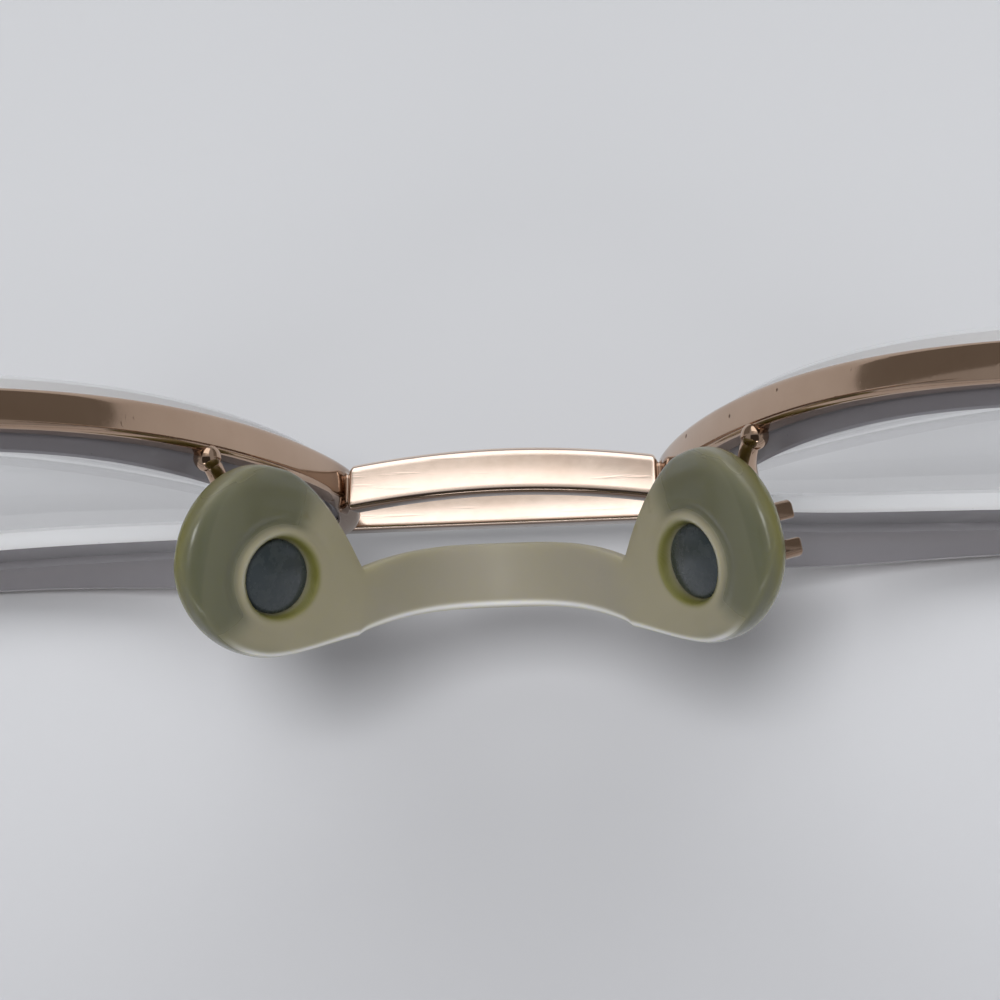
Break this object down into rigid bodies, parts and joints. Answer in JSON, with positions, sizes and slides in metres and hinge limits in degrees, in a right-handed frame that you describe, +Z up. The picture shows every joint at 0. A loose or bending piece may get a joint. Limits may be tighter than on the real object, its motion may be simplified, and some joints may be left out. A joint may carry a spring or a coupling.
{
  "type": "aviator eyeglasses",
  "caption": "Metal aviator eyeglasses with grooved rims, double bridge, soft one-piece nose strap and folding temples, lying upside down on the brow.",
  "frame": {"origin": "on the surface that the glasses lie on, under the middle of their box", "axes": "+X to the wearer's left, +Y the way the lenses face, +Z up from the surface, with the brow down"},
  "size_m": [0.137, 0.1474, 0.0471],
  "materials": {
    "gold": "polished rose gold plate, lightly worn",
    "screw": "polished gold plate, darker in the slots",
    "lens": "clear, with a ground edge",
    "silicone": "translucent silicone, yellowed",
    "core": "dark blue-grey plastic",
    "acetate": "polished dark brown acetate"
  },
  "bodies": {
    "front": {"lower_bridge": "gold", "brow_bar": "gold", "nose_strap": "silicone", "right_eyewire": "gold", "right_lens": "lens", "right_endpiece": "gold", "right_upper_closing_block": "gold", "right_lower_closing_block": "gold", "right_rim_screw": "screw", "right_front_hinge_leaf": "gold", "right_hinge_screw": "screw", "right_pad_arm": "gold", "right_pad_box": "gold", "right_pad_core": "core", "right_pad_screw": "screw", "left_eyewire": "gold", "left_lens": "lens", "left_endpiece": "gold", "left_upper_closing_block": "gold", "left_lower_closing_block": "gold", "left_rim_screw": "screw", "left_front_hinge_leaf": "gold", "left_hinge_screw": "screw", "left_pad_arm": "gold", "left_pad_box": "gold", "left_pad_core": "core", "left_pad_screw": "screw"},
    "right_temple_arm": {"right_temple_hinge_leaf": "gold", "right_temple": "gold", "right_temple_tip": "acetate"},
    "left_temple_arm": {"left_temple_hinge_leaf": "gold", "left_temple": "gold", "left_temple_tip": "acetate"}
  },
  "joints": [
    {"name": "right_temple_fold", "type": "hinge", "parent": "front", "child": "right_temple_arm", "pos_m": [-0.06496, 0.05842, 0.01032], "axis": [0, -0.0875, 0.9962], "range_deg": [0, 90]},
    {"name": "left_temple_fold", "type": "hinge", "parent": "front", "child": "left_temple_arm", "pos_m": [0.06496, 0.05842, 0.01032], "axis": [0, 0.0875, -0.9962], "range_deg": [0, 84]}
  ]
}
